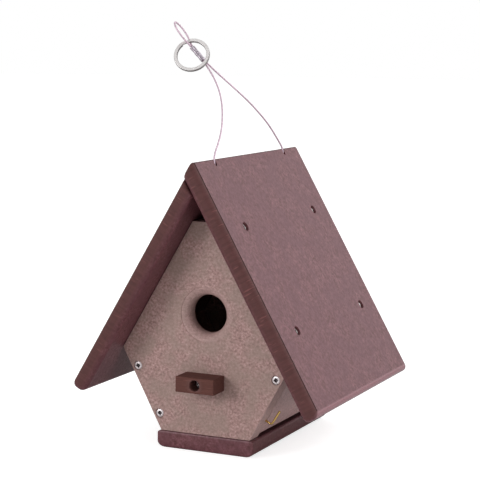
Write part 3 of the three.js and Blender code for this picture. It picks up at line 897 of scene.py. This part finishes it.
def roof_axes(side):
    """u runs down the slope from the ridge line, and w is up from the underside."""
    return axes(Vector((0, 0, RIDGE_Z)), Vector((side * SIN, 0, -COS)), Vector((0, side, 0)),
                Vector((side * COS, 0, SIN)))


for side, side_name in ((-1, "left"), (1, "right")):
    for row, y in SCREW_ROWS.items():
        for level, down in ROOF_SCREWS.items():
            spot = roof_axes(side) @ Vector((down, side * y, ROOF_THICKNESS))
            make_screw(f"roof_screw_{side_name}_{row}_{level}", ROOF_SCREW, spot,
                       Vector((side * COS, 0, SIN)), DARK_SCREW, "house", "screw_dark", dome=0.5)
        make_screw(f"floor_screw_{side_name}_{row}", FLOOR_SCREW,
                   Vector((side * FLOOR_SCREW_SPACING / 2, y, 0)), -Z, DARK_SCREW, "house",
                   "screw_dark")

pivot = slant_point(PIVOT_FROM_CORNER, -SIDE_THICKNESS / 2)
lower_screw = slant_point(LOWER_SCREW_FROM_CORNER, -SIDE_THICKNESS / 2)
for row, y, outwards in (("front", FRONT_Y, -Y), ("back", BACK_Y, Y)):
    for name, at, side, body in (
            (f"side_screw_{row}_upper", pivot, -1, "house"),
            (f"side_screw_{row}_lower", lower_screw, -1, "house"),
            (f"door_pivot_screw_{row}", pivot, 1, "door")):
        make_screw(name, FACE_SCREW, Vector((side * at.x, y, at.z)), outwards, BRIGHT_SCREW, body,
                   "screw_bright", dome=0.25)

perch_z = PANEL_BOTTOM + PERCH_CENTRE
perch_y = FRONT_Y - SEAM - PERCH_PROJECTION
make_screw("perch_screw", PERCH_SCREW, Vector((0, perch_y, perch_z)), -Y, BRIGHT_SCREW, "house",
           "screw_dark", dome=0.6)

# ---------------------------------------------------------------- panels


def panel_outline(_):
    top = (APEX_Z - PANEL_TOP) * TAN
    right = [(BOTTOM_HALF_WIDTH, PANEL_BOTTOM), (CORNER_HALF_WIDTH, CORNER_Z), (top, PANEL_TOP)]
    return [Vector(p) for p in right] + [Vector((-x, z)) for x, z in reversed(right)]


def entrance_profile():
    """The hole through the front panel, rounded over on both faces."""
    quarter = [math.pi / 2 * k / 10 for k in range(11)]
    rim = [(ENTRANCE_RADIUS + ENTRANCE_ROUNDOVER * (1 - math.sin(a)),
            ENTRANCE_ROUNDOVER * (1 - math.cos(a)) + ENTRANCE_STEP) for a in quarter]
    rim.insert(0, (rim[0][0] + 0.1, 0.0))
    return [(r, PANEL_THICKNESS - w) for r, w in rim] + [(r, w) for r, w in reversed(rim)]


def face_holes(flip):
    """Clearance holes of the side screws and the pivot, in a panel's own axes."""
    spots = [(-flip * pivot.x, pivot.z), (-flip * lower_screw.x, lower_screw.z),
             (flip * pivot.x, pivot.z)]
    return [{"at": at, "profile": recess_profile(FACE_SCREW, PANEL_THICKNESS)} for at in spots]


def saw_mark(pitch, depth, seed):
    """Irregular cuts across a sawn or routed side, about this far apart."""
    def mark(side, along, w):
        ripple = noise.noise(Vector((along / pitch, w * 0.05, seed + 7 * side)))
        slow = noise.noise(Vector((along / 40, 0, seed + 31 * side)))
        return depth * (1 + (0.6 + 0.8 * slow) * ripple) / 2
    return mark


def make_panels():
    profile = rounded_profile(PANEL_THICKNESS, 0.45, 0.45, steps=3)
    holes = face_holes(1) + [{"at": (0, PANEL_BOTTOM + ENTRANCE_HEIGHT), "count": 96,
                              "profile": entrance_profile(), "edge": 0.5}]
    front = axes(Vector((0, FRONT_Y + PANEL_THICKNESS, 0)), X, Z, -Y)
    board("front_panel_skin", front, panel_outline, profile, TAN_BOARD, "house", "board_tan",
          holes, marks=saw_mark(3, 0.03, 3), cell=4.0)
    back = axes(Vector((0, BACK_Y - PANEL_THICKNESS, 0)), -X, Z, Y)
    board("back_panel_skin", back, panel_outline, profile, TAN_BOARD, "house", "board_tan",
          face_holes(-1), marks=saw_mark(3, 0.03, 5), cell=5.0)


make_panels()

# ---------------------------------------------------------------- roof


def roof_profile():
    return rounded_profile(ROOF_THICKNESS, ROOF_EDGE_UNDER, ROOF_EDGE_OVER, ROOF_SHOULDER, 7)


def roof_outline(side):
    """The ridge end is cut on a slant: x of that end rises or falls with the height w."""
    length = ROOF_LENGTHS[side] - EAVE_TRIM
    half = ROOF_DEPTH / 2 - ROOF_END_TRIM
    if side == "left":
        under = SEAM / SIN2
        over = (SEAM - COS2 * ROOF_THICKNESS) / SIN2
        planed = None
    else:
        lap = ROOF_THICKNESS + RIDGE_LAP
        under = -lap / SIN2
        over = -(lap + COS2 * ROOF_THICKNESS) / SIN2
        peak = RIDGE_Z - COS * over + SIN * ROOF_THICKNESS - RIDGE_EASE
        planed = (RIDGE_Z - peak) / COS

    def outline(w):
        end = under + (over - under) * w / ROOF_THICKNESS
        if planed is not None:
            end = max(end, planed + w * SIN / COS)
        return [Vector(p) for p in ((end, -half), (length, -half), (length, half), (end, half))]

    return outline


def make_roof_board(side, name):
    """One board. Its sides, in turn, are the front or back, the eave, the other end, the ridge."""
    holes = [{"at": (down, side * y), "profile": recess_profile(ROOF_SCREW, ROOF_THICKNESS)}
             for y in SCREW_ROWS.values() for down in ROOF_SCREWS.values()]
    return board(f"roof_{name}_skin", roof_axes(side), roof_outline(name), roof_profile(),
                 BROWN_BOARD, "house", "board_brown", holes, sides=[1, 1, 1, 0.1],
                 # The eave's -1 paints its roundover paler as a highlight and makes it smoother
                 cut_and_sheen=[1, -1, 1, 1], corner=ROOF_CORNER, spacing=0.8, cell=4.5, wave=0.08,
                 marks=saw_mark(2.2, 0.16, side))


def bore(piece, cutters):
    """Cuts the cutters out of a piece and keeps the result as its mesh."""
    for cutter in cutters:
        cut = piece.modifiers.new("bore", "BOOLEAN")
        cut.operation, cut.solver, cut.object = "DIFFERENCE", "EXACT", cutter
    piece.modifiers.remove(piece.modifiers["weighted"])
    graph = bpy.context.evaluated_depsgraph_get()
    mesh = bpy.data.meshes.new_from_object(piece.evaluated_get(graph))
    piece.modifiers.clear()
    piece.data = mesh
    for cutter in cutters:
        bpy.data.objects.remove(cutter)
    smooth(piece, EDGE_ANGLE)


def wire_hole_cutters():
    """Rods that stand where the hanger's two strands go through the ridge."""
    bottom, top = -20, 30
    rod = [(0, bottom), (WIRE_HOLE_RADIUS, bottom), (WIRE_HOLE_RADIUS, top), (0, top)]
    cutters = []
    for end in (-1, 1):
        points, faces = turned(rod, 24)
        mesh = bpy.data.meshes.new("cutter")
        place = Vector((WIRE_HOLE_X, WIRE_MIDDLE_Y + end * WIRE_HOLE_HALF_SPAN, RIDGE_Z + 5))
        mesh.from_pydata([(Vector(p) + place) * MM for p in points], [], faces)
        cutters.append(add_object("cutter", mesh))
    return cutters


make_roof_board(-1, "left")
bore(make_roof_board(1, "right"), wire_hole_cutters())

# ---------------------------------------------------------------- lower sides and door

INNER_FRONT = FRONT_Y + PANEL_THICKNESS
INNER_BACK = BACK_Y - PANEL_THICKNESS


def make_sides():
    profile = rounded_profile(SIDE_THICKNESS, 0.5, 0.5, steps=3)

    def door_outline(_):
        bottom = SLANT_LENGTH + DOOR_BOTTOM_GAP / SLANT_DOWN.z
        y0, y1 = INNER_FRONT + DOOR_END_GAP, INNER_BACK - DOOR_END_GAP
        return [Vector(p) for p in ((DOOR_TOP, y0), (bottom, y0), (bottom, y1), (DOOR_TOP, y1))]

    corner = slant_point(0, -SIDE_THICKNESS)
    door = axes(corner, SLANT_DOWN, Y, SLANT_DOWN.cross(Y))
    board("clean_out_door_skin", door, door_outline, profile, DOOR_BOARD, "door", "board_tan",
          marks=saw_mark(3, 0.03, 11), cell=5.0,
          side_grain=lambda p: (p[1], p[0], p[2]))

    # The fixed side is the mirror image, mitred under the roof and level on the floor.
    def side_outline(w):
        start = slant_point(0, w - SIDE_THICKNESS)
        # Down the slant to the plane of the roof's underside, and to the floor
        top = (APEX_Z - start.z - start.x / TAN) / (SLANT_DOWN.z + SLANT_DOWN.x / TAN)
        bottom = (PANEL_BOTTOM - start.z) / SLANT_DOWN.z
        y0, y1 = -(INNER_BACK - SEAM), -(INNER_FRONT + SEAM)
        return [Vector(p) for p in ((top, y0), (bottom, y0), (bottom, y1), (top, y1))]

    down = Vector((-SLANT_DOWN.x, 0, SLANT_DOWN.z))
    place = axes(Vector((-corner.x, 0, corner.z)), down, -Y, down.cross(-Y))
    board("side_left_skin", place, side_outline, profile, TAN_BOARD, "house", "board_tan",
          marks=saw_mark(3, 0.03, 13), cell=5.0, side_grain=lambda p: (p[1], p[0], p[2]))


make_sides()

# ---------------------------------------------------------------- floor and perch


def make_floor_board():
    """Its own w axis points down. Its ends are rounded further in than its front and back."""
    half = BOTTOM_HALF_WIDTH + FLOOR_SIDE_LIP
    front, back = FRONT_Y - FLOOR_FRONT_LIP, BACK_Y + FLOOR_FRONT_LIP

    def outline(_):
        return [Vector(p) for p in ((-half, -back), (half, -back), (half, -front), (-half, -front))]

    holes = [{"at": (side * FLOOR_SCREW_SPACING / 2, -y),
              "profile": recess_profile(FLOOR_SCREW, FLOOR_THICKNESS)}
             for side in (-1, 1) for y in SCREW_ROWS.values()]
    place = axes(Vector((0, 0, FLOOR_THICKNESS)), X, -Y, -Z)
    profile = rounded_profile(FLOOR_THICKNESS, FLOOR_EDGE_OVER, FLOOR_EDGE_UNDER)
    board("floor_board_skin", place, outline, profile, BROWN_BOARD, "house", "board_brown", holes,
          sides=[0.35, 1.5, 0.35, 1.5], corner=1.2, cut_and_sheen=[0, 0.6, 0, 0.6], spacing=1.2,
          marks=saw_mark(2.6, 0.05, 17))


def make_perch():
    half = PERCH_WIDTH / 2

    def outline(_):
        low, high = perch_z - PERCH_HEIGHT / 2, perch_z + PERCH_HEIGHT / 2
        return [Vector(p) for p in ((-half, low), (half, low), (half, high), (-half, high))]

    holes = [{"at": (0, perch_z), "profile": recess_profile(PERCH_SCREW, PERCH_PROJECTION)}]
    place = axes(Vector((0, FRONT_Y - SEAM, 0)), X, Z, -Y)
    board("perch_skin", place, outline, rounded_profile(PERCH_PROJECTION, 0.3, 0.7, steps=4),
          PERCH_BOARD, "house", "board_brown", holes, corner=0.7, spacing=0.8, cell=3.0,
          marks=saw_mark(1.8, 0.08, 19), face_cut=1.0)


make_floor_board()
make_perch()

# ---------------------------------------------------------------- door latch


def make_latch():
    """A square-bend screw hook. Its shank is on w, out of the panel's edge, and its arm on u."""
    bend = [math.pi / 2 * k / 8 for k in range(9)]
    corner = LATCH_STAND_OFF - LATCH_BEND
    path = [Vector((0, 0, -LATCH_DEPTH + 0.5 * k))
            for k in range(int(2 * (LATCH_DEPTH + corner)) + 1)]
    path = [p for p in path if p.z < corner - 0.2]
    path += [Vector((LATCH_BEND * (1 - math.cos(a)), 0, corner + LATCH_BEND * math.sin(a)))
             for a in bend]
    path += [Vector((LATCH_BEND + 0.5 * k, 0, LATCH_STAND_OFF))
             for k in range(1, int(2 * (LATCH_ARM - LATCH_BEND)) - 1)]
    tip = [(0.5, 0.98), (0.25, 0.85), (0.08, 0.6), (0, 0.2)]  # back from the end, share of radius
    sizes = [1.0] * len(path) + [share for _, share in tip]
    path += [Vector((LATCH_ARM - back, 0, LATCH_STAND_OFF)) for back, _ in tip]
    points, faces = sweep(path, lambda k, _: circle(LATCH_RADIUS * sizes[k], 20))
    base = slant_point(LATCH_FROM_CORNER, 0) + Y * (FRONT_Y + LATCH_FROM_FRONT)
    arm = -SLANT_DOWN * math.cos(LATCH_SWING) + Y * math.sin(LATCH_SWING)
    matrix = axes(base, arm, SLANT_OUT.cross(arm), SLANT_OUT)
    make_piece("latch_hook", points, faces, BRASS, "latch", "latch_brass", ["door_latch"],
               matrix=matrix)


make_latch()

# ---------------------------------------------------------------- floor and light

STAGE_RADIUS = 9.0  # metres
STAGE_ALBEDO = 0.6
STAGE_GLOW = 0.75  # added for the camera alone, so that the floor runs into the white behind
WORLD_FRONT = 0.5
WORLD_BACK = 1.0
LIGHTS = [  # name, place in metres, size, watts
    ("key", (1.5, 0.9, 1.7), 1.2, 18),
    ("right", (2.0, -0.6, 0.12), 0.8, 10),
    ("left", (-1.2, -1.9, 0.8), 1.0, 19),
    ("front", (0.1, -2.2, 0.95), 0.35, 2),
]
LIGHT_AIM = Vector((0, 0, 0.12))


def make_stage():
    material, tree, shader = new_material("pale_floor", Roughness=0.9)
    place = add_node(tree, "ShaderNodeTexCoord").outputs["Object"]
    paper = noise_value(tree, place, 3.0, 2.0)
    tree.links.new(remap(tree, paper, 0.3, 0.7, 0.88, 0.92), shader.inputs["Roughness"])
    shader.inputs["Base Color"].default_value = (STAGE_ALBEDO, STAGE_ALBEDO, STAGE_ALBEDO, 1)
    glow = add_node(tree, "ShaderNodeEmission", None, Strength=STAGE_GLOW)
    lit = add_node(tree, "ShaderNodeAddShader", None, i0=glow.outputs[0], i1=shader.outputs[0])
    seen = add_node(tree, "ShaderNodeLightPath").outputs["Is Camera Ray"]
    either = add_node(tree, "ShaderNodeMixShader", None, i0=seen, i1=shader.outputs[0],
                      i2=lit.outputs[0])
    tree.links.new(either.outputs[0], tree.nodes["Material Output"].inputs["Surface"])
    mesh = bpy.data.meshes.new("stage")
    points, faces = turned([(0, 0), (0.5, 0), (STAGE_RADIUS, 0)], 64)
    mesh.from_pydata(points, [], faces)
    mesh.materials.append(material)
    add_object("stage", mesh)


def add_light(name, place, size, power):
    data = bpy.data.lights.new(name, "AREA")
    data.shape, data.size, data.energy = "DISK", size, power
    light = add_object(name, data)
    aim = (LIGHT_AIM - Vector(place)).to_track_quat("-Z", "Y")
    light.matrix_world = Matrix.Translation(place) @ aim.to_matrix().to_4x4()


def make_world():
    """A white studio: bright behind the object, dimmer in front of it, white to the camera."""
    world = bpy.data.worlds.new("studio")
    bpy.context.scene.world = world
    world.use_nodes = True
    tree = world.node_tree
    way = add_node(tree, "ShaderNodeTexCoord").outputs["Generated"]
    back = add_node(tree, "ShaderNodeSeparateXYZ", None, Vector=way).outputs["Y"]
    room = remap(tree, back, -0.1, 0.6, WORLD_FRONT, WORLD_BACK)
    seen = add_node(tree, "ShaderNodeLightPath").outputs["Is Camera Ray"]
    sky = tree.nodes["Background"]
    sky.inputs["Color"].default_value = (1, 1, 1, 1)
    tree.links.new(maths(tree, "MAXIMUM", room, seen), sky.inputs["Strength"])


def make_light():
    make_world()
    for light in LIGHTS:
        add_light(*light)
    bpy.context.scene.view_settings.view_transform = "Standard"


make_stage()
make_light()
